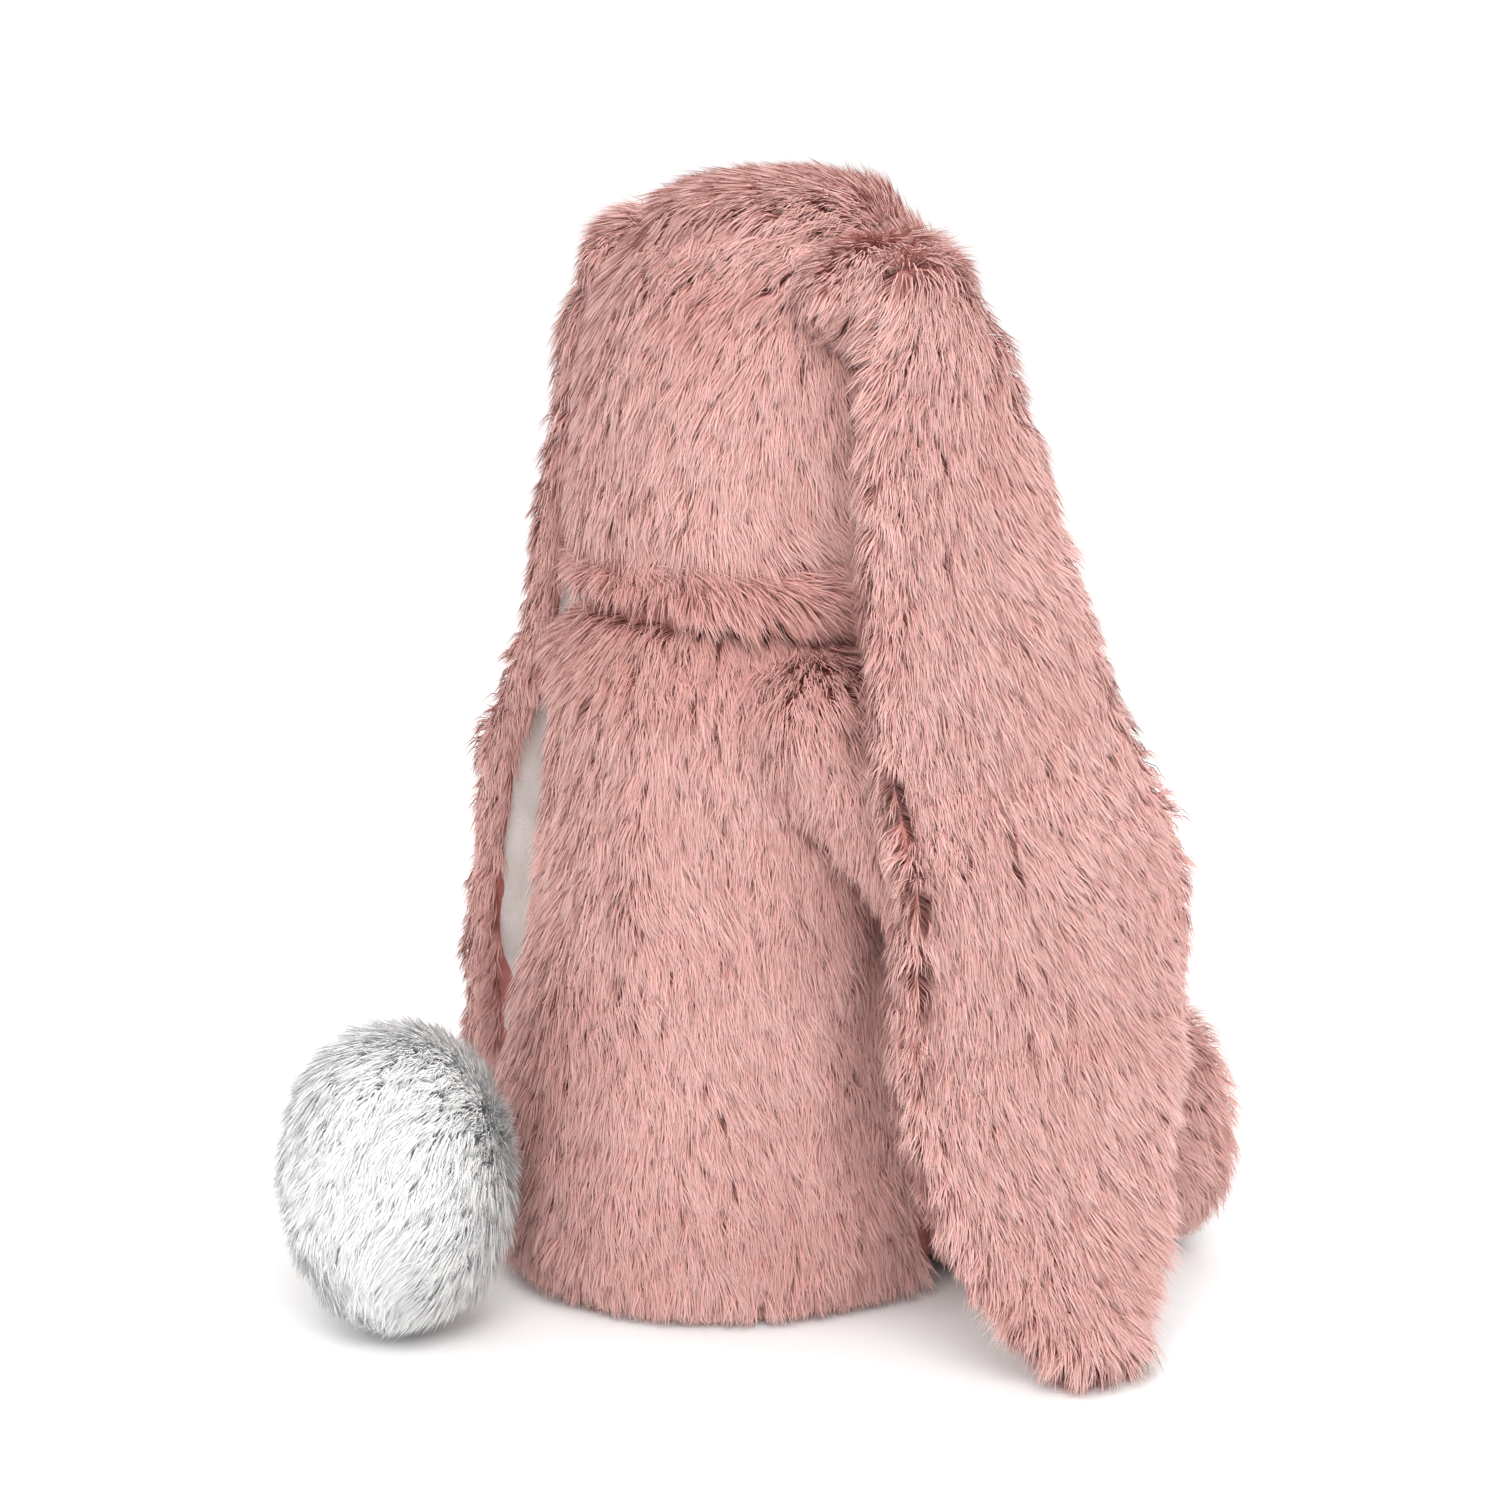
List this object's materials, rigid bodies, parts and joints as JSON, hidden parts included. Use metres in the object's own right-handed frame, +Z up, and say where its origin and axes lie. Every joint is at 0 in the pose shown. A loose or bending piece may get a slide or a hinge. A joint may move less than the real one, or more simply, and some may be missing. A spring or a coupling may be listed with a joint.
{
  "type": "stuffed bunny rabbit",
  "caption": "Seated lop-eared plush bunny with long fur, floor-length lined ears, stub arms, forward legs with upright feet, and a round white tail.",
  "frame": {"origin": "centre of the flat seat panel, on the surface that the bunny sits on", "axes": "+Z up, the face looks towards -Y, the bunny's left is +X"},
  "size_m": [0.287, 0.2623, 0.3172],
  "materials": {
    "body_fur": "long dusty pink faux fur, brushed downwards",
    "tail_fur": "long fluffy white faux fur",
    "ear_velour": "off-white ribbed velour",
    "sole_velour": "off-white velour",
    "fiberfill": "loose polyester filling",
    "pellet_cloth": "plain woven bag of plastic pellets",
    "eye_plastic": "polished black",
    "washer_plastic": "moulded white",
    "thread": "satin stitched embroidery thread"
  },
  "bodies": {
    "torso": {"torso_back_left": "body_fur", "torso_back_right": "body_fur", "torso_belly": "body_fur", "torso_base": "body_fur", "torso_stuffing": "fiberfill", "seat_pellet_bag": "pellet_cloth"},
    "head": {"head_crown": "body_fur", "head_side_left": "body_fur", "head_side_right": "body_fur", "muzzle": "body_fur", "nose": "thread", "mouth_stitches": "thread", "eye_left": "eye_plastic", "eye_right": "eye_plastic", "eye_washer_left": "washer_plastic", "eye_washer_right": "washer_plastic", "head_stuffing": "fiberfill"},
    "ear_left": {"ear_back_left": "body_fur", "ear_lining_left": "ear_velour"},
    "ear_right": {"ear_back_right": "body_fur", "ear_lining_right": "ear_velour"},
    "arm_left": {"arm_fur_left": "body_fur", "arm_stuffing_left": "fiberfill"},
    "arm_right": {"arm_fur_right": "body_fur", "arm_stuffing_right": "fiberfill"},
    "leg_left": {"leg_fur_left": "body_fur", "foot_sole_left": "sole_velour", "leg_stuffing_left": "fiberfill"},
    "leg_right": {"leg_fur_right": "body_fur", "foot_sole_right": "sole_velour", "leg_stuffing_right": "fiberfill"},
    "tail": {"tail_left": "tail_fur", "tail_right": "tail_fur", "tail_stuffing": "fiberfill"}
  },
  "joints": [
    {"name": "head_nod", "type": "hinge", "parent": "torso", "child": "head", "pos_m": [0, 0, 0.166], "axis": [1, 0, 0], "range_deg": [-8, 8], "stiffness_Nm_per_rad": 2},
    {"name": "ear_left_lift", "type": "hinge", "parent": "head", "child": "ear_left", "pos_m": [0.062, -0.008, 0.297], "axis": [0, -1, 0], "range_deg": [0, 75]},
    {"name": "ear_right_lift", "type": "hinge", "parent": "head", "child": "ear_right", "pos_m": [-0.062, -0.008, 0.297], "axis": [0, 1, 0], "range_deg": [0, 75]},
    {"name": "arm_left_swing", "type": "hinge", "parent": "torso", "child": "arm_left", "pos_m": [0.0515, 0.01, 0.161], "axis": [-0.9397, 0, -0.342], "range_deg": [0, 25]},
    {"name": "arm_right_swing", "type": "hinge", "parent": "torso", "child": "arm_right", "pos_m": [-0.0515, 0.01, 0.161], "axis": [-0.9397, 0, 0.342], "range_deg": [0, 25]},
    {"name": "leg_left_lift", "type": "hinge", "parent": "torso", "child": "leg_left", "pos_m": [0.046, -0.038, 0.032], "axis": [-1, 0, 0], "range_deg": [0, 15]},
    {"name": "leg_right_lift", "type": "hinge", "parent": "torso", "child": "leg_right", "pos_m": [-0.046, -0.038, 0.032], "axis": [-1, 0, 0], "range_deg": [0, 15]},
    {"name": "tail_wag", "type": "hinge", "parent": "torso", "child": "tail", "pos_m": [0, 0.084, 0.0455], "axis": [0, 0, 1], "range_deg": [-12, 12]}
  ]
}
